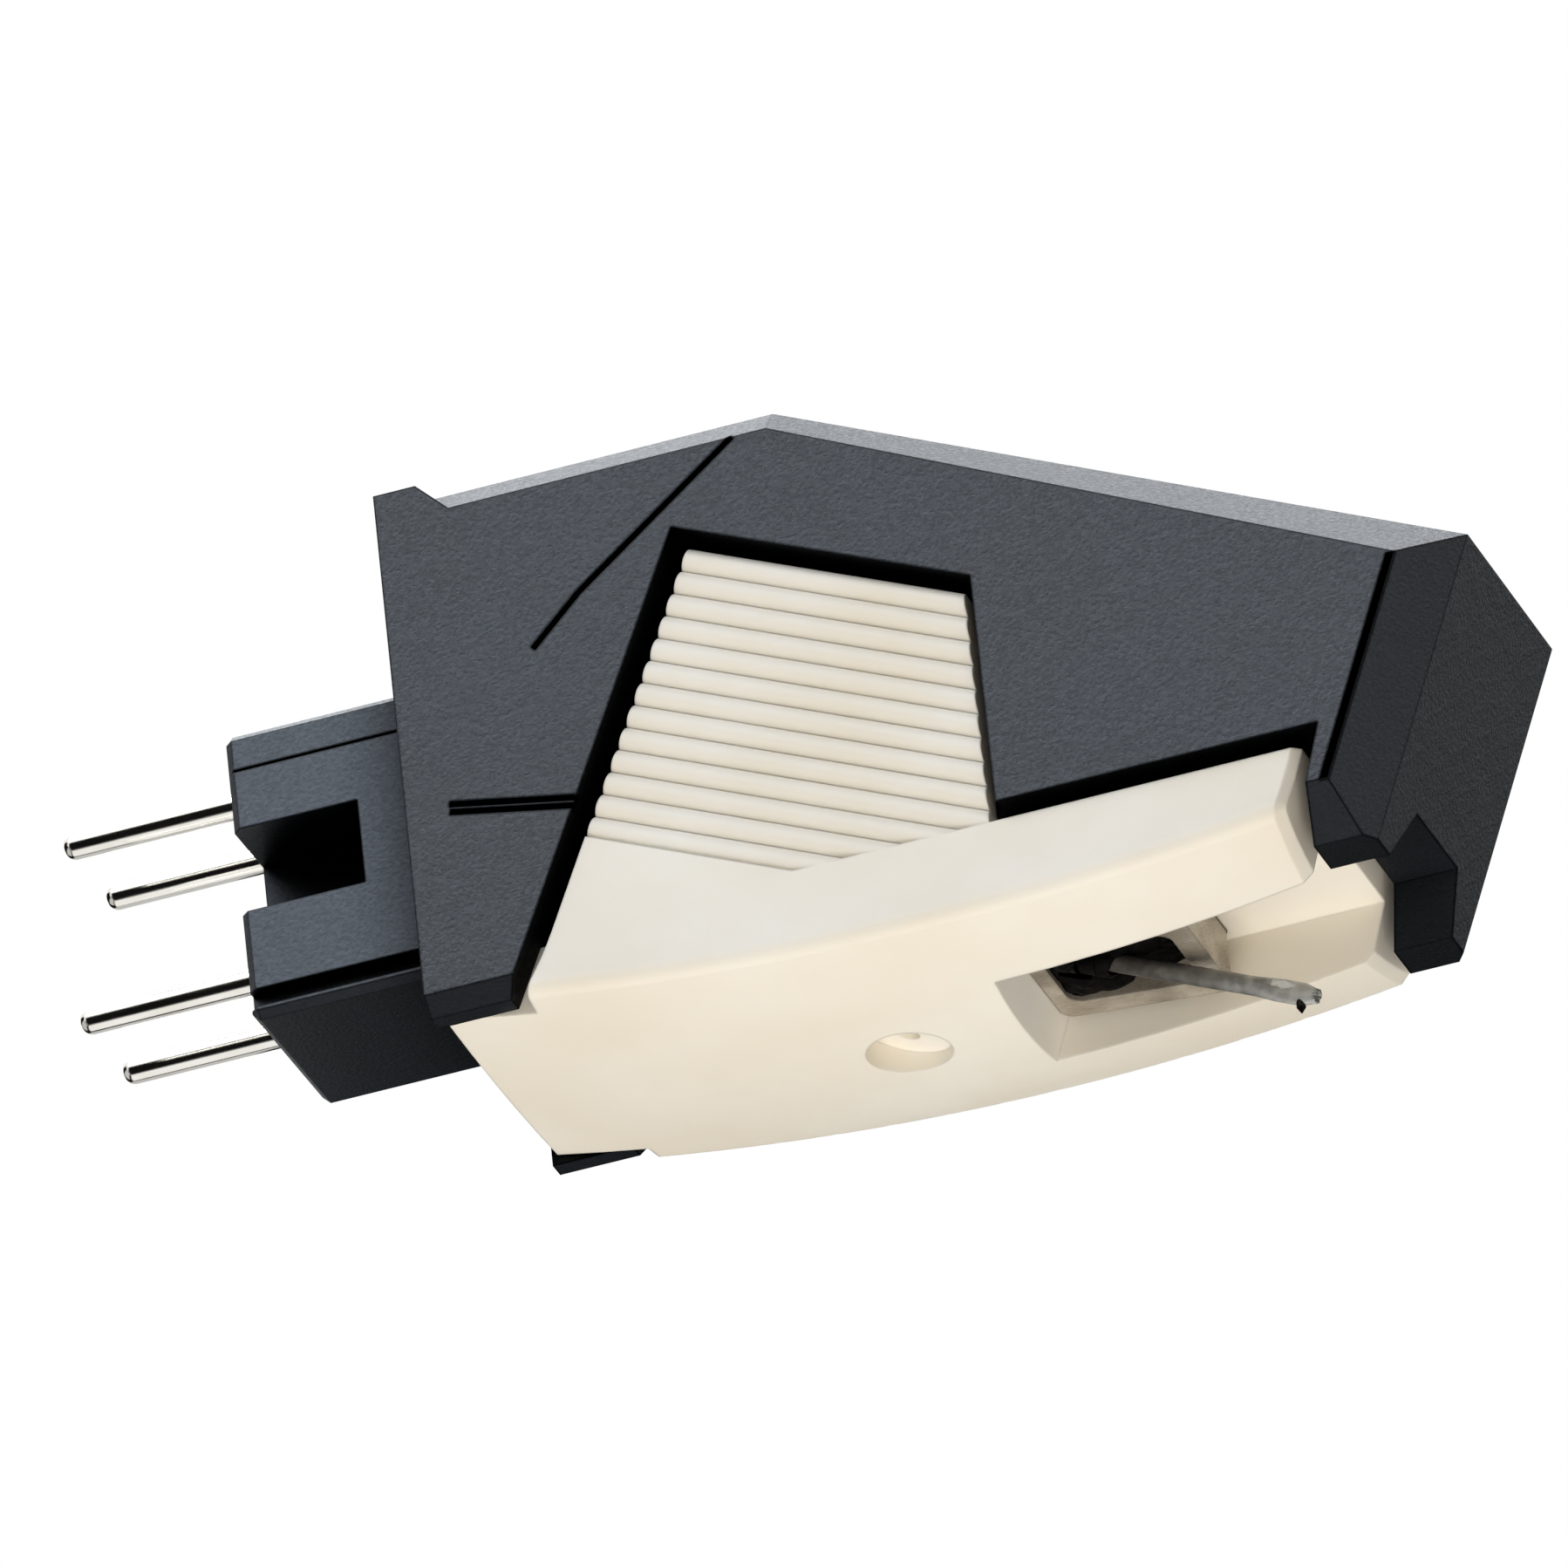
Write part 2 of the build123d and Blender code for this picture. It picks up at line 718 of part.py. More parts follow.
# Laminated core: a ring open below, with two pole tips beside the magnet
def core(side):
    rear = pole_station - core_half_length
    front = pole_station + core_half_length
    gap = pole_gap / 2
    foot = carrier_top + core_bar
    outline = [
        (rear, carrier_top),
        (rear, core_top),
        (front, core_top),
        (front, carrier_top),
        (pole_station + gap + pole_width, carrier_top),
        (pole_station + gap + pole_width, pole_tip),
        (pole_station + gap, pole_tip),
        (pole_station + gap, foot),
        (front - core_bar, foot),
        (front - core_bar, core_top - core_bar),
        (rear + core_bar, core_top - core_bar),
        (rear + core_bar, foot),
        (pole_station - gap, foot),
        (pole_station - gap, pole_tip),
        (pole_station - gap - pole_width, pole_tip),
        (pole_station - gap - pole_width, carrier_top),
    ]
    middle = side * core_offset
    return side_prism(outline, middle - core_thickness / 2, middle + core_thickness / 2)


# A box round the core's top bar, a margin bigger than the bar on each side
def yoke_box(side, margin_y, margin_z, x_low, x_high):
    y = side * core_offset
    half_y = core_thickness / 2 + margin_y
    return corner_box((x_low, y - half_y, core_top - core_bar - margin_z),
                      (x_high, y + half_y, core_top + margin_z))


def bobbin_ends():
    rear = pole_station - core_half_length + core_bar + bobbin_end_gap
    front = pole_station + core_half_length - core_bar - bobbin_end_gap
    return rear, front


def bobbin(side):
    rear, front = bobbin_ends()
    flange_y = bobbin_flange_half - core_thickness / 2
    flange_z = bobbin_flange_half - core_bar / 2
    barrel_margin = bobbin_gap + bobbin_wall
    spool = yoke_box(side, barrel_margin, barrel_margin, rear, front)
    spool += yoke_box(side, flange_y, flange_z, rear, rear + bobbin_flange)
    spool += yoke_box(side, flange_y, flange_z, front - bobbin_flange, front)
    return spool - yoke_box(side, bobbin_gap, bobbin_gap, rear - past, front + past)


def winding(side):
    rear, front = bobbin_ends()
    outer_y = bobbin_flange_half - core_thickness / 2 - winding_margin
    outer_z = bobbin_flange_half - core_bar / 2 - winding_margin
    barrel_margin = bobbin_gap + bobbin_wall
    coil = yoke_box(side, outer_y, outer_z, rear + bobbin_flange, front - bobbin_flange)
    coil = fillet(coil.edges().filter_by(Axis.X), winding_round)
    return coil - yoke_box(side, barrel_margin, barrel_margin, rear, front)


def shield_plate():
    reach = core_half_length + shield_margin
    half = shield_thickness / 2
    return corner_box((pole_station - reach, -half, carrier_top), (pole_station + reach, half, shield_height))


# A lead from a pin's inner end to the bobbin on the same side
def lead(side, level):
    rear, front = bobbin_ends()
    start = Vector(rear_wall + pin_inner_reach + lead_end_gap, side * pin_pitch_y / 2,
                   level * pin_pitch_z / 2)
    end = Vector(rear - lead_end_gap, side * (core_offset - level * lead_offset_y),
                 core_top - core_bar / 2 + level * lead_offset_z)
    return bar(start, end, lead_radius)


save(body_shell(), "body_shell")
save(connector_block(), "connector_block")
save(stylus_holder(), "stylus_holder")
save(cantilever_sleeve(), "cantilever_sleeve")
save(damper(), "damper")
save(pivot_collar(), "pivot_collar")
save(cantilever(), "cantilever")
save(stylus_tip(), "stylus_tip")
save(magnet_ring(), "magnet_ring")
save(tension_wire(), "tension_wire")
save(wire_anchor(), "wire_anchor")
save(coil_carrier(), "coil_carrier")
save(shield_plate(), "shield_plate")
for side, side_name in zip(sides, ("right", "left")):
    save(magnet(side), "magnet_" + side_name)
    save(core(side), "core_" + side_name)
    save(bobbin(side), "bobbin_" + side_name)
    save(winding(side), "winding_" + side_name)
    for level, level_name in ((1, "signal"), (-1, "return")):
        save(pin(side * pin_pitch_y / 2, level * pin_pitch_z / 2), "pin_" + side_name + "_" + level_name)
        save(lead(side, level), "lead_" + side_name + "_" + level_name)
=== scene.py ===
import json
import math

import bpy
from mathutils import Matrix, Vector


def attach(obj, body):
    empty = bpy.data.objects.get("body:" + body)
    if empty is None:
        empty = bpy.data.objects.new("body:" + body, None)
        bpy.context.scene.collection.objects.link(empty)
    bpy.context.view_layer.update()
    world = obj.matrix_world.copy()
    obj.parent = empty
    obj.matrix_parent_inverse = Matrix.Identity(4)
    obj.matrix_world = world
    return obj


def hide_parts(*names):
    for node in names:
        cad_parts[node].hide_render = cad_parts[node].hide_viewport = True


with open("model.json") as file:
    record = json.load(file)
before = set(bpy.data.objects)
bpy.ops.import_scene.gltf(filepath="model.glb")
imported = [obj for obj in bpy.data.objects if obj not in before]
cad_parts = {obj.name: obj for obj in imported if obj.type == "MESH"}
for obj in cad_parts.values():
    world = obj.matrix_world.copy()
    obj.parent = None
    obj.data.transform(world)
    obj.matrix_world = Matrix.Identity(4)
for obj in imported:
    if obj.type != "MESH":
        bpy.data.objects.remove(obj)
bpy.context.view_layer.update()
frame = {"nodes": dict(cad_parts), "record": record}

scene = bpy.context.scene
print("stage: frame loaded,", len(frame["nodes"]), "nodes")


def millimetres(value):
    return value / 1000.0


# noise scale for features about this many millimetres across
def perMetre(featureSize):
    return 1000.0 / featureSize


def toLinear(hexText):
    values = [int(hexText[i:i + 2], 16) / 255 for i in (1, 3, 5)]
    linear = [v / 12.92 if v <= 0.04045 else ((v + 0.055) / 1.055) ** 2.4 for v in values]
    return (linear[0], linear[1], linear[2], 1.0)


# adds a node, sets its sockets or properties, and links its inputs to (node, output)
def addNode(tree, kind, links={}, **settings):
    node = tree.nodes.new(kind)
    for name, value in settings.items():
        socket = name.replace("_", " ")
        if socket in node.inputs:
            node.inputs[socket].default_value = value
        else:
            setattr(node, name, value)
    for socket, (source, output) in links.items():
        tree.links.new(source.outputs[output], node.inputs[socket])
    return node


def startMaterial(name):
    material = bpy.data.materials.new(name)
    material.use_nodes = True
    return material, material.node_tree, material.node_tree.nodes["Principled BSDF"]


# camera, as fitted to the photograph
cameraSettings = {
    "azimuth": 16.367,
    "elevation": -27.631,
    "roll": -6.175,
    "distance": millimetres(752.3),
    "target": (millimetres(13.742), 0.0, millimetres(0.181)),
    "pixelsPerMetre": 45540.0,
    "imagePixels": 1798,
    "sensor": 36.0,
}


def makeCamera(settings):
    azimuth = math.radians(settings["azimuth"])
    elevation = math.radians(settings["elevation"])
    roll = math.radians(settings["roll"])
    back = Vector((math.sin(azimuth) * math.cos(elevation), -math.cos(azimuth) * math.cos(elevation),
                   math.sin(elevation)))
    level = Vector((math.cos(azimuth), math.sin(azimuth), 0.0))
    upright = back.cross(level)
    right = level * math.cos(roll) + upright * math.sin(roll)
    up = upright * math.cos(roll) - level * math.sin(roll)
    bpy.ops.object.camera_add()
    camera = bpy.context.object
    camera.name = "photoCamera"
    place = Matrix((right, up, back)).transposed().to_4x4()
    place.translation = Vector(settings["target"]) + back * settings["distance"]
    camera.matrix_world = place
    camera.data.sensor_width = settings["sensor"]
    focalPixels = settings["pixelsPerMetre"] * settings["distance"]
    camera.data.lens = focalPixels / settings["imagePixels"] * settings["sensor"]
    camera.data.clip_start = 0.05
    camera.data.clip_end = 10.0
    scene.camera = camera


makeCamera(cameraSettings)
scene.view_settings.view_transform = "Standard"
print("stage: camera")


# studio: pale floor well below, soft boxes, and a world that is white where it is seen;
# the cards show only in smooth faces, the dark ones for the sheen and the white ones round the pins
studioSettings = {
    "floorHeight": -1.2,
    "floorSize": 20.0,
    "floorColour": "#f4f3f0",
    "floorRoughness": 0.9,
    "floorSeen": 0.7,
    "floorMirrored": 0.22,
    "worldColour": (0.97, 0.985, 1.0, 1),
    "worldStrength": 0.26,
    "darkCards": (
        {"name": "farCard", "size": (1.4, 1.08), "place": (0.10, 0.36, -0.44), "turn": (90, 0, 0)},
        {"name": "cameraCard", "size": (1.3, 0.90), "place": (0.15, -0.58, -0.29), "turn": (90, 0, 0)},
        {"name": "rearCard", "size": (0.9, 1.20), "place": (-0.60, 0.10, -0.22), "turn": (90, 0, 90)},
    ),
    "darkShade": 0.006,
    "underCards": (
        {"name": "pinCard", "size": (0.22, 0.42), "place": (-0.10, 0.01, -0.35), "turn": (0, 0, 0)},
    ),
    "underShade": 1.0,
    "pinCards": (
        {"name": "pinSideCard", "size": (0.009, 0.026), "place": (-0.0097, 0.015, -0.005), "turn": (90, 0, 0)},
        {"name": "pinEndCard", "size": (0.02, 0.0155), "place": (-0.02, -0.002, -0.0082), "turn": (90, 0, 90)},
    ),
    "pinShade": 0.6,
    "lights": (
        {"name": "keyBox", "place": (-0.14, -0.40, 0.44), "size": 0.44, "power": 2.6,
         "colour": "#f1f6ff", "mirrored": True},
        {"name": "lowFill", "place": (0.04, -0.16, -0.42), "size": 0.46, "power": 2.1,
         "colour": "#fffaf3", "mirrored": False},
        {"name": "roofBox", "place": (-0.08, 0.24, 0.47), "size": 0.40, "power": 1.8,
         "colour": "#f6faff", "mirrored": True},
    ),
}


def makeWorld(settings):
    world = bpy.data.worlds.new("studioWorld")
    scene.world = world
    world.use_nodes = True
    tree = world.node_tree
    tree.nodes.clear()
    rays = addNode(tree, "ShaderNodeLightPath")
    seen = addNode(tree, "ShaderNodeBackground", Color=(1, 1, 1, 1), Strength=1.0)
    lighting = addNode(tree, "ShaderNodeBackground", Color=settings["worldColour"],
                       Strength=settings["worldStrength"])
    direct = addNode(tree, "ShaderNodeMath", {0: (rays, "Is Camera Ray"), 1: (rays, "Is Glossy Ray")},
                     operation="MAXIMUM")
    shown = addNode(tree, "ShaderNodeMath", {0: (direct, 0), 1: (rays, "Is Transmission Ray")},
                    operation="MAXIMUM")
    mix = addNode(tree, "ShaderNodeMixShader", {0: (shown, 0), 1: (lighting, 0), 2: (seen, 0)})
    addNode(tree, "ShaderNodeOutputWorld", {"Surface": (mix, 0)})


def makeFloor(settings):
    bpy.ops.object.select_all(action="DESELECT")
    bpy.ops.mesh.primitive_plane_add(size=settings["floorSize"], location=(0, 0, settings["floorHeight"]))
    floor = bpy.context.object
    floor.name = "paleFloor"
    material, tree, shader = startMaterial("paintedStudioFloor")
    shader.inputs["Base Color"].default_value = toLinear(settings["floorColour"])
    shader.inputs["Roughness"].default_value = settings["floorRoughness"]
    rays = addNode(tree, "ShaderNodeLightPath")
    seen = addNode(tree, "ShaderNodeMapRange", {"Value": (rays, "Is Camera Ray")},
                   To_Max=settings["floorSeen"])
    shader.inputs["Emission Color"].default_value = (1, 1, 1, 1)
    tree.links.new(seen.outputs["Result"], shader.inputs["Emission Strength"])
    mirrored = addNode(tree, "ShaderNodeEmission", Strength=settings["floorMirrored"])
    mix = addNode(tree, "ShaderNodeMixShader", {0: (rays, "Is Glossy Ray"), 1: (shader, 0), 2: (mirrored, 0)})
    tree.links.new(mix.outputs[0], tree.nodes["Material Output"].inputs["Surface"])
    floor.data.materials.append(material)


def makeCards(cards, shade):
    for card in cards:
        bpy.ops.object.select_all(action="DESELECT")
        bpy.ops.mesh.primitive_plane_add(size=1.0, location=card["place"],
                                         rotation=[math.radians(angle) for angle in card["turn"]])
        cloth = bpy.context.object
        cloth.name = card["name"]
        cloth.scale = (card["size"][0], card["size"][1], 1.0)
        cloth.visible_camera = False
        cloth.visible_diffuse = False
        cloth.visible_shadow = False
        material, tree, shader = startMaterial(card["name"] + "Cloth")
        shader.inputs["Base Color"].default_value = (0, 0, 0, 1)
        shader.inputs["Specular IOR Level"].default_value = 0.0
        shader.inputs["Emission Color"].default_value = (1, 1, 1, 1)
        shader.inputs["Emission Strength"].default_value = shade
        cloth.data.materials.append(material)


def makeLights(settings):
    for light in settings["lights"]:
        bpy.ops.object.light_add(type="AREA", location=light["place"])
        lamp = bpy.context.object
        lamp.name = light["name"]
        lamp.data.size = light["size"]
        lamp.data.energy = light["power"]
        lamp.data.color = toLinear(light["colour"])[:3]
        lamp.visible_glossy = light["mirrored"]
        aim = Vector(cameraSettings["target"]) - Vector(light["place"])
        lamp.rotation_euler = aim.to_track_quat("-Z", "Y").to_euler()


makeWorld(studioSettings)
makeFloor(studioSettings)
for cardKind in ("dark", "under", "pin"):
    makeCards(studioSettings[cardKind + "Cards"], studioSettings[cardKind + "Shade"])
makeLights(studioSettings)
print("stage: studio")


# noise values between which a pattern is spread
noiseSpread = (0.3, 0.7)


# three or more colours spread over the middle of a noise
def setColours(ramp, colours):
    low, high = noiseSpread
    elements = ramp.color_ramp.elements
    elements[0].position = low
    elements[0].color = toLinear(colours[0])
    elements[1].position = high
    elements[1].color = toLinear(colours[-1])
    for i in range(1, len(colours) - 1):
        elements.new(low + (high - low) * i / (len(colours) - 1)).color = toLinear(colours[i])


# what the plastics share, and what one has if it says nothing else
plasticSettings = {
    "sheenColour": "#ffffff",
    "glow": 0.0,
    "glowDepth": 0.5,
    "glowRadius": (1.0, 0.8, 0.55),
    "paintedShadeRange": (0.5, 0.95),  # open share at which a wall takes the full painted shade, and none at all
    "edgeShare": 1.0,
    "edgeTurn": (0.982, 0.9985),  # cosine of the turn at the middle of a rounded edge, and beside it
    "creaseSize": 0.6,
    "creaseStrength": 0.0,
    "creaseDepth": 0.06,
    "creaseTilt": -38,
    "creaseShare": 0.72,  # height of the wave above which it is a crease
    "creaseFacing": (0.86, 0.9),  # how squarely a face looks to the nose end to have creases
    "waveLength": 0.314,  # the wave pattern's own repeat
}


# moulded plastic: cloudy colour, grain and flow lines from the mould, uneven gloss, rounded edges that look
# darker, creases on the nose face, and painted shade in deep hollows, which takes colour and sheen off their
# walls
def mouldedPlastic(ownSettings):
    settings = {**plasticSettings, **ownSettings}
    material, tree, shader = startMaterial(settings["name"])
    place = addNode(tree, "ShaderNodeTexCoord")
    clouds = addNode(tree, "ShaderNodeTexNoise", {"Vector": (place, "Object")},
                     Scale=perMetre(settings["cloudSize"]), Detail=3.0)
    grain = addNode(tree, "ShaderNodeTexNoise", {"Vector": (place, "Object")},
                    Scale=perMetre(settings["grainSize"]), Detail=4.0, Roughness=0.6)
    stretch = addNode(tree, "ShaderNodeMapping", {"Vector": (place, "Object")}, Scale=settings["flowStretch"])
    flow = addNode(tree, "ShaderNodeTexNoise", {"Vector": (stretch, "Vector")},
                   Scale=perMetre(settings["flowSize"]), Detail=2.0, Distortion=0.6)
    tilted = addNode(tree, "ShaderNodeMapping", {"Vector": (place, "Object")},
                     Rotation=(math.radians(settings["creaseTilt"]), 0, 0))
    creases = addNode(tree, "ShaderNodeTexWave", {"Vector": (tilted, "Vector")}, wave_type="BANDS",
                      bands_direction="Z", Scale=settings["waveLength"] * perMetre(settings["creaseSize"]),
                      Distortion=5.0, Detail=2.0, Detail_Scale=1.0)
    # colour and gloss
    ramp = addNode(tree, "ShaderNodeValToRGB", {"Fac": (clouds, 0)})
    setColours(ramp, settings["colours"])
    gloss = addNode(tree, "ShaderNodeMapRange", {"Value": (grain, 0)}, From_Min=noiseSpread[0],
                    From_Max=noiseSpread[1], To_Min=settings["roughness"][0], To_Max=settings["roughness"][1])
    # relief: rounded edges, then flow lines, creases and grain
    edges = addNode(tree, "ShaderNodeBevel", samples=6, Radius=millimetres(settings["edgeRadius"]))
    waves = addNode(tree, "ShaderNodeBump", {"Height": (flow, 0), "Normal": (edges, "Normal")},
                    Strength=settings["flowStrength"], Distance=millimetres(settings["flowDepth"]))
    face = addNode(tree, "ShaderNodeNewGeometry")
    facing = addNode(tree, "ShaderNodeSeparateXYZ", {"Vector": (face, "Normal")})
    front = addNode(tree, "ShaderNodeMapRange", {"Value": (facing, "X")}, From_Min=settings["creaseFacing"][0],
                    From_Max=settings["creaseFacing"][1])
    ridges = addNode(tree, "ShaderNodeMapRange", {"Value": (creases, "Fac"), "To Max": (front, "Result")},
                     From_Min=settings["creaseShare"])
    folds = addNode(tree, "ShaderNodeBump", {"Height": (ridges, "Result"), "Normal": (waves, "Normal")},
                    Strength=settings["creaseStrength"], Distance=millimetres(settings["creaseDepth"]))
    bump = addNode(tree, "ShaderNodeBump", {"Height": (grain, 0), "Normal": (folds, "Normal")},
                   Strength=settings["grainStrength"], Distance=millimetres(settings["grainDepth"]))
    # painted shade: hollows lose colour and sheen, and rounded edges are drawn darker as well
    paintedShadeOcclusion = addNode(tree, "ShaderNodeAmbientOcclusion", samples=8,
                     Distance=millimetres(settings["paintedShadeReach"]))
    paintedShadeFactor = addNode(tree, "ShaderNodeMapRange", {"Value": (paintedShadeOcclusion, "AO")}, From_Min=settings["paintedShadeRange"][0],
                     From_Max=settings["paintedShadeRange"][1], To_Min=settings["paintedShadeShare"])
    turn = addNode(tree, "ShaderNodeVectorMath", {0: (edges, "Normal"), 1: (face, "Normal")},
                   operation="DOT_PRODUCT")
    rim = addNode(tree, "ShaderNodeMapRange", {"Value": (turn, "Value")}, From_Min=settings["edgeTurn"][0],
                  From_Max=settings["edgeTurn"][1], To_Min=settings["edgeShare"])
    paintedShadeAndEdges = addNode(tree, "ShaderNodeMapRange", {"Value": (paintedShadeFactor, "Result"), "To Max": (rim, "Result")})
    sheen = addNode(tree, "ShaderNodeMapRange", {"Value": (paintedShadeAndEdges, "Result")}, To_Max=settings["specular"])
    colour = addNode(tree, "ShaderNodeVectorMath", {0: (ramp, "Color"), "Scale": (paintedShadeAndEdges, "Result")},
                     operation="SCALE")
    tree.links.new(colour.outputs["Vector"], shader.inputs["Base Color"])
    tree.links.new(sheen.outputs["Result"], shader.inputs["Specular IOR Level"])
    tree.links.new(gloss.outputs["Result"], shader.inputs["Roughness"])
    tree.links.new(bump.outputs["Normal"], shader.inputs["Normal"])
    shader.inputs["Specular Tint"].default_value = toLinear(settings["sheenColour"])
    shader.inputs["Subsurface Weight"].default_value = settings["glow"]
    shader.inputs["Subsurface Radius"].default_value = settings["glowRadius"]
    shader.inputs["Subsurface Scale"].default_value = millimetres(settings["glowDepth"])
    return material


# what a metal has if it says nothing else: no change of shade along the piece
metalSettings = {
    "fade": {"start": 0.0, "end": 1.0, "amount": 0.0, "patches": 1.0},
    "patchSpread": 0.2,
}


# drawn or rolled metal: fine lines from the die, patches of changing colour and gloss
def drawnMetal(ownSettings):
    settings = {**metalSettings, **ownSettings}
    material, tree, shader = startMaterial(settings["name"])
    place = addNode(tree, "ShaderNodeTexCoord")
    stretch = addNode(tree, "ShaderNodeMapping", {"Vector": (place, "Object")},
                      Scale=(settings["stretch"], 1.0, 1.0))
    lines = addNode(tree, "ShaderNodeTexNoise", {"Vector": (stretch, "Vector")},
                    Scale=perMetre(settings["lineSize"]), Detail=3.0)
    patches = addNode(tree, "ShaderNodeTexNoise", {"Vector": (place, "Object")},
                      Scale=perMetre(settings["patchSize"]), Detail=2.0)
    # shade: patches, and darker or paler along the piece
    fade = settings["fade"]
    axes = addNode(tree, "ShaderNodeSeparateXYZ", {"Vector": (place, "Object")})
    along = addNode(tree, "ShaderNodeMapRange", {"Value": (axes, "X")}, From_Min=millimetres(fade["start"]),
                    From_Max=millimetres(fade["end"]), To_Min=-fade["amount"], To_Max=fade["amount"])
    spread = settings["patchSpread"] * fade["patches"]
    even = addNode(tree, "ShaderNodeMapRange", {"Value": (patches, 0)}, From_Min=noiseSpread[0],
                   From_Max=noiseSpread[1], To_Min=0.5 - spread, To_Max=0.5 + spread)
    shade = addNode(tree, "ShaderNodeMath", {0: (even, "Result"), 1: (along, "Result")}, operation="ADD")
    ramp = addNode(tree, "ShaderNodeValToRGB", {"Fac": (shade, 0)})
    setColours(ramp, settings["colours"])
    gloss = addNode(tree, "ShaderNodeMapRange", {"Value": (lines, 0)}, From_Min=noiseSpread[0],
                    From_Max=noiseSpread[1], To_Min=settings["roughness"][0], To_Max=settings["roughness"][1])
    edges = addNode(tree, "ShaderNodeBevel", samples=6, Radius=millimetres(settings["edgeRadius"]))
    bump = addNode(tree, "ShaderNodeBump", {"Height": (lines, 0), "Normal": (edges, "Normal")},
                   Strength=settings["lineStrength"], Distance=millimetres(settings["lineDepth"]))
    tree.links.new(ramp.outputs["Color"], shader.inputs["Base Color"])
    tree.links.new(gloss.outputs["Result"], shader.inputs["Roughness"])
    tree.links.new(bump.outputs["Normal"], shader.inputs["Normal"])
    shader.inputs["Metallic"].default_value = settings["metallic"]
    return material
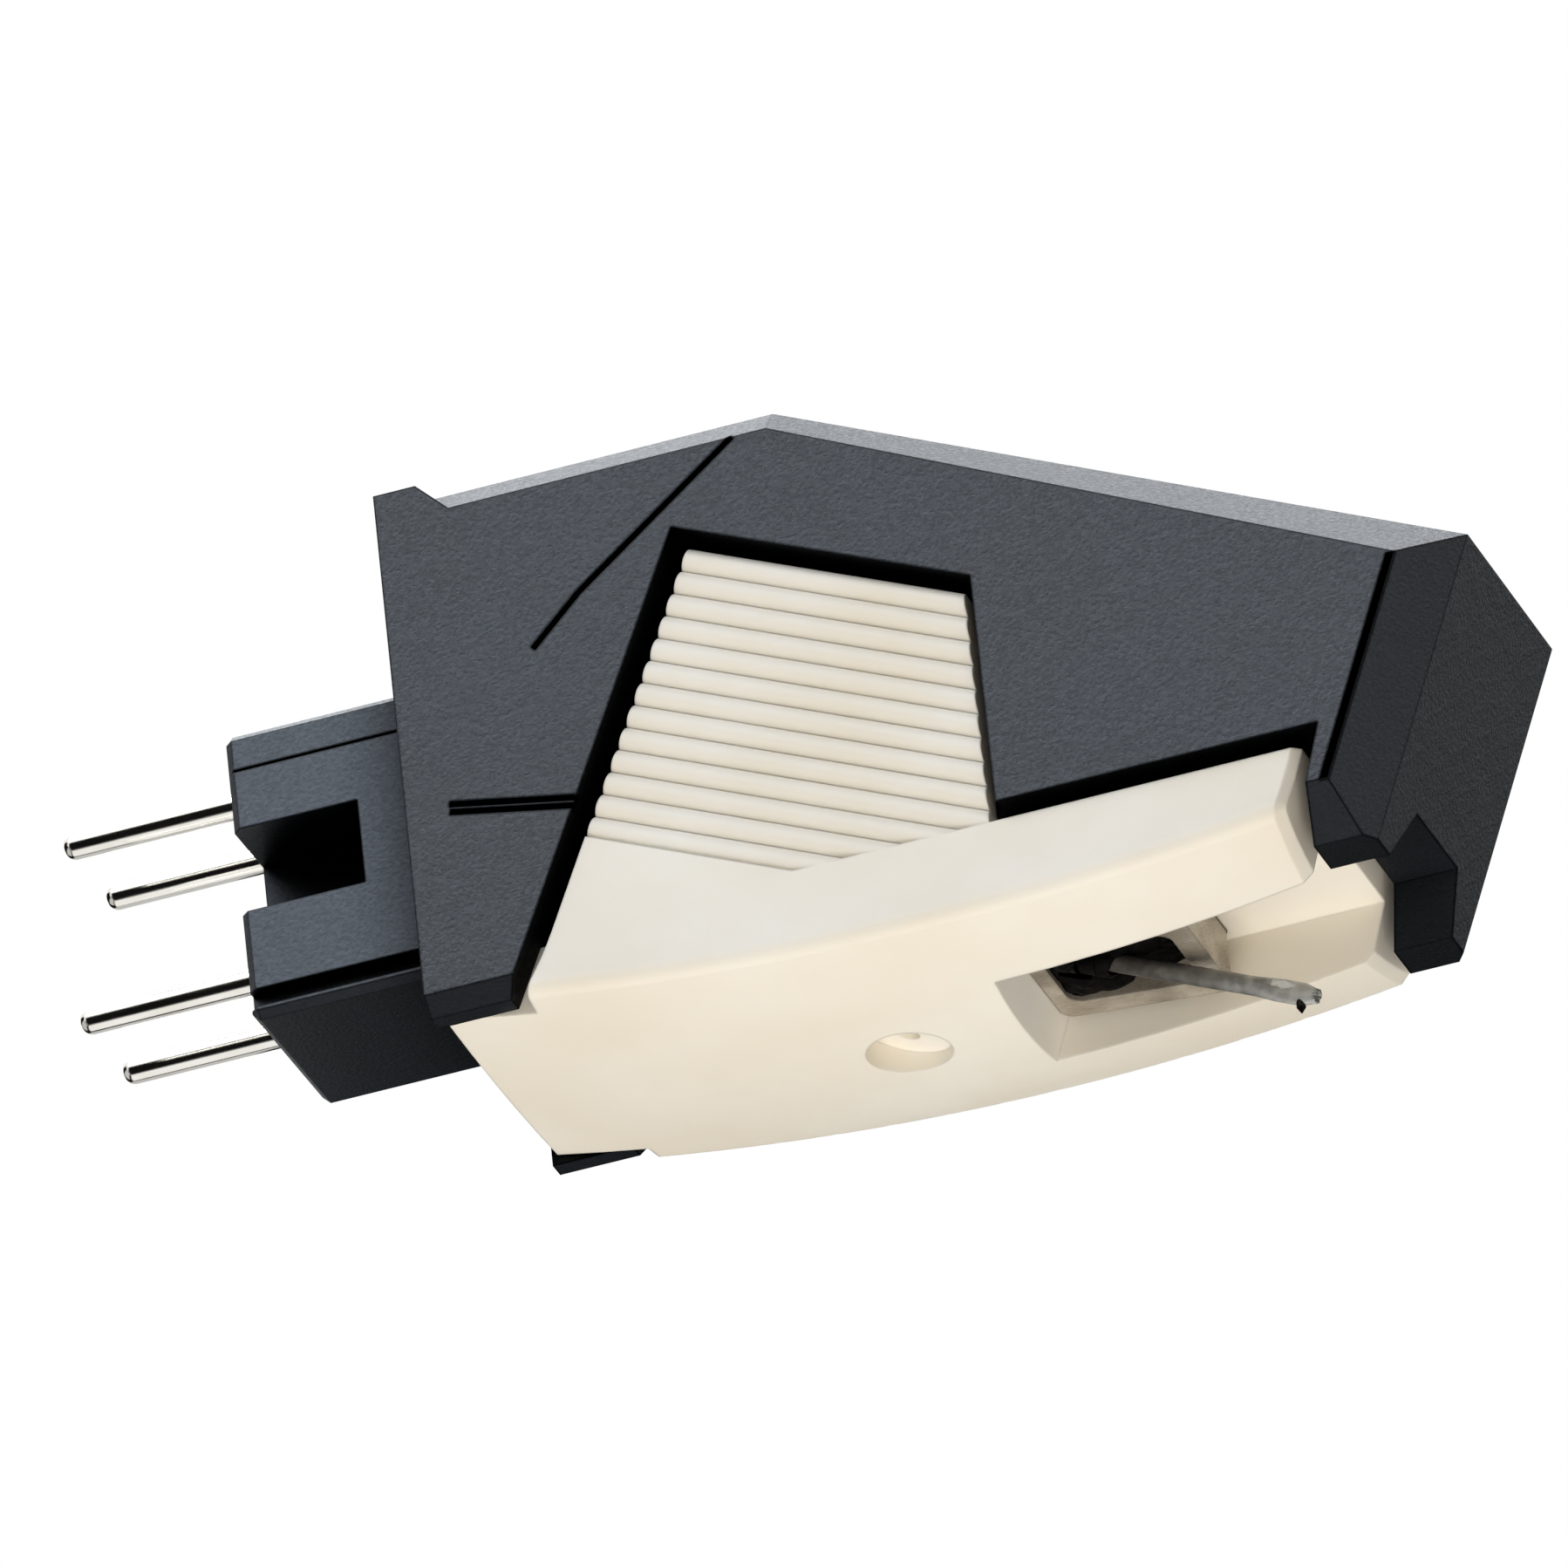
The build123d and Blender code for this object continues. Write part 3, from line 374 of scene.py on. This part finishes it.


# in each plastic, the last two numbers give the reach of the painted shade in hollows, in millimetres, and the
# share of colour and sheen left there
materialSettings = {
    # glass-filled moulding with an eroded surface: nearly black, with a dull blue-grey sheen and faint lines
    "dark_moulding": {
        "make": mouldedPlastic, "name": "texturedGlassFilledMoulding",
        "colours": ("#090b0d", "#0c0f13", "#101419"), "cloudSize": 6.0,
        "grainSize": 0.10, "grainStrength": 0.75, "grainDepth": 0.03, "roughness": (0.44, 0.60),
        "flowSize": 0.9, "flowStretch": (1.0, 0.35, 0.8), "flowStrength": 0.25, "flowDepth": 0.05,
        "edgeRadius": 0.10, "edgeShare": 0.25, "specular": 0.68, "sheenColour": "#eaf2fa",
        "creaseStrength": 0.06, "paintedShadeReach": 5.0, "paintedShadeShare": 0.08},
    # the same filled plastic from a smoother tool
    "plug_moulding": {
        "make": mouldedPlastic, "name": "smoothGlassFilledMoulding",
        "colours": ("#060709", "#080a0d", "#0b0e12"), "cloudSize": 4.0,
        "grainSize": 0.12, "grainStrength": 0.5, "grainDepth": 0.025, "roughness": (0.42, 0.55),
        "flowSize": 1.2, "flowStretch": (0.4, 1.0, 1.0), "flowStrength": 0.15, "flowDepth": 0.04,
        "edgeRadius": 0.08, "edgeShare": 0.35, "specular": 0.85, "sheenColour": "#e2eefb",
        "paintedShadeReach": 3.0, "paintedShadeShare": 0.04},
    # ivory ABS with a satin face that lets a little light in
    "ivory_moulding": {
        "make": mouldedPlastic, "name": "satinIvoryAbs",
        "colours": ("#eae2d1", "#ede6d8", "#f0ebdf"), "cloudSize": 5.0,
        "grainSize": 0.22, "grainStrength": 0.16, "grainDepth": 0.015, "roughness": (0.40, 0.52),
        "flowSize": 1.6, "flowStretch": (0.4, 1.0, 1.0), "flowStrength": 0.10, "flowDepth": 0.03,
        "edgeRadius": 0.10, "specular": 0.4, "glow": 0.12, "paintedShadeReach": 1.0, "paintedShadeShare": 1.0},
    # poured butyl rubber with a ragged, dull face
    "damper_rubber": {
        "make": mouldedPlastic, "name": "pouredButylRubber",
        "colours": ("#050505", "#0a0909", "#100f0f"), "cloudSize": 0.6,
        "grainSize": 0.18, "grainStrength": 0.8, "grainDepth": 0.06, "roughness": (0.40, 0.70),
        "flowSize": 0.5, "flowStretch": (1.0, 1.0, 1.0), "flowStrength": 0.4, "flowDepth": 0.08,
        "edgeRadius": 0.05, "specular": 0.05, "paintedShadeReach": 0.5, "paintedShadeShare": 0.3},
    # bright nickel over turned brass pins: a mirror with faint lines
    "pin_nickel": {
        "make": drawnMetal, "name": "brightNickelPlate", "colours": ("#e3dfd5", "#ebe8e0", "#f2f0ea"),
        "lineSize": 0.05, "stretch": 0.04, "patchSize": 1.5, "lineStrength": 0.06, "lineDepth": 0.004,
        "roughness": (0.08, 0.16), "edgeRadius": 0.05, "metallic": 1.0},
    # bright folded strip; the warm tan of its colour is a painted reflection of the ivory
    "bright_metal": {
        "make": drawnMetal, "name": "brightFoldedStrip", "colours": ("#857c6e", "#a39a8b", "#bfb7a9"),
        "lineSize": 0.06, "stretch": 0.2, "patchSize": 1.2, "lineStrength": 0.15, "lineDepth": 0.006,
        "roughness": (0.24, 0.38), "edgeRadius": 0.08, "metallic": 0.35},
    # drawn aluminium tube with a dull oxide, paler to its end
    "cantilever_alloy": {
        "make": drawnMetal, "name": "drawnAluminiumTube",
        "colours": ("#4a4642", "#6f6c67", "#8b8a86", "#c3c4c0"),
        "lineSize": 0.05, "stretch": 0.3, "patchSize": 0.35, "lineStrength": 0.4, "lineDepth": 0.008,
        "roughness": (0.34, 0.5), "edgeRadius": 0.04, "metallic": 0.45,
        "fade": {"start": 21.8, "end": 26.6, "amount": 0.2, "patches": 0.3}},
    # the same aluminium, pale and bright: a painted highlight for the pressed flat
    "painted_highlight": {
        "make": drawnMetal, "name": "paintedHighlightAluminium", "colours": ("#c9cbc9", "#d6d8d6", "#e2e4e2"),
        "lineSize": 0.05, "stretch": 0.3, "patchSize": 0.3, "lineStrength": 0.2, "lineDepth": 0.004,
        "roughness": (0.22, 0.34), "edgeRadius": 0.03, "metallic": 0.2},
    # ground and polished diamond, dark against the light
    "diamond": {
        "make": mouldedPlastic, "name": "groundDiamondPoint",
        "colours": ("#080605", "#0c0908", "#120e0c"), "cloudSize": 0.3,
        "grainSize": 0.05, "grainStrength": 0.05, "grainDepth": 0.002, "roughness": (0.05, 0.12),
        "flowSize": 0.2, "flowStretch": (1.0, 1.0, 1.0), "flowStrength": 0.05, "flowDepth": 0.002,
        "edgeRadius": 0.01, "specular": 0.2, "paintedShadeReach": 0.2, "paintedShadeShare": 1.0},
    # ground magnet alloy: grey with a fine scratch
    "magnet_metal": {
        "make": drawnMetal, "name": "groundMagnetAlloy", "colours": ("#56585c", "#606267", "#6b6d72"),
        "lineSize": 0.05, "stretch": 0.3, "patchSize": 0.6, "lineStrength": 0.2, "lineDepth": 0.004,
        "roughness": (0.35, 0.5), "edgeRadius": 0.04, "metallic": 0.9},
    # rolled nickel-iron sheet with lines from the mill
    "screen_metal": {
        "make": drawnMetal, "name": "rolledNickelIronSheet", "colours": ("#7d7f82", "#88898c", "#939497"),
        "lineSize": 0.07, "stretch": 0.1, "patchSize": 1.5, "lineStrength": 0.15, "lineDepth": 0.005,
        "roughness": (0.28, 0.42), "edgeRadius": 0.04, "metallic": 1.0},
    # turned brass with tool lines
    "anchor_brass": {
        "make": drawnMetal, "name": "turnedBrass", "colours": ("#a8853a", "#b8923f", "#c49e4c"),
        "lineSize": 0.05, "stretch": 2.0, "patchSize": 0.6, "lineStrength": 0.15, "lineDepth": 0.004,
        "roughness": (0.2, 0.34), "edgeRadius": 0.04, "metallic": 1.0},
    # enamelled copper: lacquered red-brown metal, its turns shown as lines
    "copper_wire": {
        "make": drawnMetal, "name": "enamelledCopperWire", "colours": ("#8f4d22", "#a45c2b", "#b56a36"),
        "lineSize": 0.12, "stretch": 4.0, "patchSize": 0.8, "lineStrength": 0.3, "lineDepth": 0.02,
        "roughness": (0.25, 0.4), "edgeRadius": 0.04, "metallic": 0.8},
}

materials = {}
for slotName, settings in materialSettings.items():
    materials[slotName] = settings["make"](settings)
for subpart in frame["record"]["subparts"]:
    node = frame["nodes"][subpart["node"]]
    node.data.materials.clear()
    node.data.materials.append(materials[subpart["material_slot"]])
print("stage: materials,", len(materials))


# in edit mode, selects the vertices that the test holds for
def pick(test):
    bpy.ops.object.mode_set(mode="OBJECT")
    mesh = bpy.context.object.data
    mesh.polygons.foreach_set("select", [False] * len(mesh.polygons))
    mesh.edges.foreach_set("select", [False] * len(mesh.edges))
    for vertex in mesh.vertices:
        vertex.select = test(vertex.co * 1000.0)
    bpy.ops.object.mode_set(mode="EDIT")
    bpy.ops.mesh.select_mode(type="VERT")


# a round bar along X in edit mode, its stations and radius in millimetres
def startBar(name, rear, front, radius, sides):
    bpy.ops.object.select_all(action="DESELECT")
    bpy.ops.mesh.primitive_cylinder_add(vertices=sides, radius=millimetres(radius),
                                        depth=millimetres(front - rear),
                                        location=(millimetres((rear + front) / 2), 0, 0),
                                        rotation=(0, math.radians(90), 0))
    bpy.ops.object.transform_apply(location=True, rotation=True, scale=True)
    bpy.context.object.name = name
    bpy.ops.object.mode_set(mode="EDIT")
    return bpy.context.object


# pitches a piece that was made along X down to the cantilever's line, about the pivot
def placeOnLine(piece, settings):
    piece.rotation_euler = (0, math.radians(settings["angle"]), 0)
    piece.location = [millimetres(value) for value in settings["pivot"]]
    bpy.ops.object.transform_apply(location=True, rotation=True, scale=True)


def applyModifier(piece, kind, **settings):
    modifier = piece.modifiers.new(kind.lower(), kind)
    for name, value in settings.items():
        setattr(modifier, name, value)
    bpy.context.view_layer.objects.active = piece
    bpy.ops.object.modifier_apply(modifier=modifier.name)


# takes a round bore along the cantilever's line out of a piece
def boreOut(piece, line, rear, front, radius):
    cutter = startBar("borer", rear, front, radius, 32)
    bpy.ops.object.mode_set(mode="OBJECT")
    placeOnLine(cutter, line)
    applyModifier(piece, "BOOLEAN", object=cutter, operation="DIFFERENCE", solver="EXACT")
    bpy.data.objects.remove(cutter)


def finishPiece(piece, slotName, body, *nodes):
    bpy.ops.object.select_all(action="DESELECT")
    piece.select_set(True)
    bpy.context.view_layer.objects.active = piece
    bpy.ops.object.shade_smooth_by_angle(angle=math.radians(40))
    if not piece.data.materials:
        piece.data.materials.append(materials[slotName])
    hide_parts(*nodes)
    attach(piece, body)


lineSettings = {"pivot": (21.25, 0.0, -6.76), "angle": 24.35}

# the cantilever: a drawn tube whose end is pressed narrow from both sides and left ragged, its flat given a
# painted highlight
cantileverSettings = {
    "radius": 0.25, "tail": 0.95, "reach": 6.25, "wall": 0.08, "boreDepth": 2.0,
    "pressStart": 4.45, "pressFull": 5.25, "pressRings": 14, "pressWidth": 0.6, "pressHeight": 1.24,
    "endStart": 5.7, "endHeight": 0.62, "endTilt": 0.12, "ragged": 0.05, "raggedSeed": 5, "sides": 48,
    "facetMiddle": (5.26, 0.12), "facetHalf": (0.42, 0.13), "facetIn": 0.13,
}


def makeCantilever(settings, line):
    reach, pressStart = settings["reach"], settings["pressStart"]
    tube = startBar("pressedTube", -settings["tail"], reach, settings["radius"], settings["sides"])
    step = (reach - pressStart) / settings["pressRings"]
    near = step / 4
    for i in range(settings["pressRings"]):
        bpy.ops.mesh.select_all(action="SELECT")
        bpy.ops.mesh.bisect(plane_co=(millimetres(pressStart + i * step), 0, 0), plane_no=(1, 0, 0))
    # narrower and taller ring by ring, and lower again at the end
    for i in range(1, settings["pressRings"] + 1):
        station = pressStart + i * step
        share = min(1.0, (station - pressStart) / (settings["pressFull"] - pressStart))
        share = share * share * (3 - 2 * share)
        ending = max(0.0, (station - settings["endStart"]) / (reach - settings["endStart"]))
        drop = ending ** 2 * (settings["pressHeight"] - settings["endHeight"])
        height = 1 + share * (settings["pressHeight"] - 1) - drop
        pick(lambda place: abs(place.x - station) < near)
        bpy.ops.transform.resize(value=(1, 1 + share * (settings["pressWidth"] - 1), height),
                                 center_override=(millimetres(station), 0, 0))
    # a flat where the press has touched the side
    middle, half = settings["facetMiddle"], settings["facetHalf"]
    pick(lambda place: place.y < 0 and
         ((place.x - middle[0]) / half[0]) ** 2 + ((place.z - middle[1]) / half[1]) ** 2 < 1)
    bpy.ops.transform.resize(value=(1, 0, 1), center_override=(0, -millimetres(settings["facetIn"]), 0))
    # the flat takes the pale aluminium, a painted highlight
    for slotName in ("cantilever_alloy", "painted_highlight"):
        tube.data.materials.append(materials[slotName])
    tube.active_material_index = 1
    bpy.ops.object.material_slot_assign()
    # the ragged end, and the bore at the tail
    pick(lambda place: place.x > reach - near)
    bpy.ops.mesh.inset(thickness=millimetres(settings["wall"] / 2))
    bpy.ops.transform.translate(value=(-millimetres(settings["endTilt"]), 0, 0))
    pick(lambda place: place.x > reach - near)
    bpy.ops.transform.vertex_random(offset=millimetres(settings["ragged"]), uniform=1.0, normal=0.0,
                                    seed=settings["raggedSeed"])
    pick(lambda place: place.x < near - settings["tail"])
    bpy.ops.mesh.inset(thickness=millimetres(settings["wall"]))
    boreDepth = millimetres(settings["boreDepth"])
    bpy.ops.mesh.extrude_region_move(TRANSFORM_OT_translate={"value": (boreDepth, 0, 0)})
    bpy.ops.object.mode_set(mode="OBJECT")
    placeOnLine(tube, line)
    finishPiece(tube, "cantilever_alloy", "moving_system", "cantilever")


# the damper: rubber poured into the sleeve's mouth, lumpy round the pivot and shrunk back on the far side
damperSettings = {
    "middle": (21.91, 0.0, -6.60), "size": (3.42, 2.84, 0.76), "corner": 0.42, "cornerSteps": 6,
    "farShrink": 0.34,
    "lumps": (
        {"place": (21.62, 0.05, -6.93), "size": (0.52, 0.50, 0.34)},
        {"place": (20.82, 0.80, -6.90), "size": (0.58, 0.60, 0.24)},
        {"place": (21.42, 1.02, -6.88), "size": (0.62, 0.38, 0.25)},
        {"place": (22.45, -0.30, -6.84), "size": (0.70, 0.45, 0.20)},
        {"place": (20.60, -0.60, -6.90), "size": (0.35, 0.60, 0.20)},
    ),
    "voxel": 0.05, "noiseSize": 0.34, "noiseDepth": 0.16, "noiseLevel": 0.6,
    "tubeBore": (0.0, 3.0, 0.32), "ringBore": (-2.225, -0.025, 0.57),  # rear, front and radius
}


def makeDamper(settings, line):
    bpy.ops.object.select_all(action="DESELECT")
    bpy.ops.mesh.primitive_cube_add(size=1.0, location=[millimetres(value) for value in settings["middle"]],
                                    scale=[millimetres(value) for value in settings["size"]])
    slab = bpy.context.object
    slab.name = "pouredDamper"
    bpy.ops.object.transform_apply(location=True, rotation=True, scale=True)
    bpy.ops.object.mode_set(mode="EDIT")
    bpy.ops.mesh.select_mode(type="EDGE")
    bpy.ops.mesh.select_all(action="DESELECT")
    bpy.ops.object.mode_set(mode="OBJECT")
    # the four upright edges are rounded, and the far front corner has shrunk
    for edge in slab.data.edges:
        ends = [slab.data.vertices[i].co for i in edge.vertices]
        edge.select = abs(ends[0].z - ends[1].z) > millimetres(settings["size"][2]) / 2
    bpy.ops.object.mode_set(mode="EDIT")
    bpy.ops.mesh.bevel(offset=millimetres(settings["corner"]), segments=settings["cornerSteps"])
    middle = settings["middle"]
    pick(lambda place: place.y > 0 and place.z < middle[2] and place.x > middle[0])
    bpy.ops.transform.translate(value=(0, 0, millimetres(settings["farShrink"])))
    bpy.ops.object.mode_set(mode="OBJECT")
    for lump in settings["lumps"]:
        bpy.ops.mesh.primitive_uv_sphere_add(segments=24, ring_count=12, radius=1.0,
                                             location=[millimetres(value) for value in lump["place"]],
                                             scale=[millimetres(value) for value in lump["size"]])
        slab.select_set(True)
        bpy.context.view_layer.objects.active = slab
        bpy.ops.object.join()
    applyModifier(slab, "REMESH", mode="VOXEL", voxel_size=millimetres(settings["voxel"]))
    face = slab.vertex_groups.new(name="openFace")
    low = millimetres(middle[2])
    face.add([vertex.index for vertex in slab.data.vertices if vertex.co.z < low], 1.0, "REPLACE")
    noise = bpy.data.textures.new("rubberLumps", "CLOUDS")
    noise.noise_scale = millimetres(settings["noiseSize"])
    applyModifier(slab, "DISPLACE", texture=noise, texture_coords="LOCAL", direction="Z",
                  vertex_group="openFace", strength=millimetres(settings["noiseDepth"]),
                  mid_level=settings["noiseLevel"])
    for bore in (settings["tubeBore"], settings["ringBore"]):
        boreOut(slab, line, *bore)
    finishPiece(slab, "damper_rubber", "stylus_unit", "damper")


# the plug pins: one turned rod with a round tip and a thinner shank inside the block, copied to four places
pinSettings = {
    "radius": 0.335, "reach": 4.85, "sides": 40, "tipRound": 0.27, "tipSteps": 7,
    "shank": 0.26, "shankEnd": 7.45, "pitch": (3.1, 5.0),
}


def makePins(settings):
    rod = startBar("turnedRod", -settings["reach"], 0.0, settings["radius"], settings["sides"])
    middle = -settings["reach"] / 2
    pick(lambda place: place.x < middle)
    bpy.ops.mesh.bevel(offset=millimetres(settings["tipRound"]), segments=settings["tipSteps"], affect="EDGES")
    pick(lambda place: place.x > middle)
    bpy.ops.mesh.inset(thickness=millimetres(settings["radius"] - settings["shank"]))
    shankEnd = millimetres(settings["shankEnd"])
    bpy.ops.mesh.extrude_region_move(TRANSFORM_OT_translate={"value": (shankEnd, 0, 0)})
    bpy.ops.object.mode_set(mode="OBJECT")
    across, upright = [millimetres(value) / 2 for value in settings["pitch"]]
    for side, sideways in (("left", across), ("right", -across)):
        for level, height in (("signal", upright), ("return", -upright)):
            bpy.ops.object.select_all(action="DESELECT")
            rod.select_set(True)
            bpy.context.view_layer.objects.active = rod
            bpy.ops.object.duplicate()
            pin = bpy.context.object
            node = "pin_" + side + "_" + level
            pin.name = node + "Rod"
            pin.location = (0, sideways, height)
            bpy.ops.object.transform_apply(location=True, rotation=True, scale=True)
            finishPiece(pin, "pin_nickel", "body", node)
    bpy.data.objects.remove(rod)


makeCantilever(cantileverSettings, lineSettings)
print("stage: cantilever")
makeDamper(damperSettings, lineSettings)
print("stage: damper")
makePins(pinSettings)
print("stage: pins")
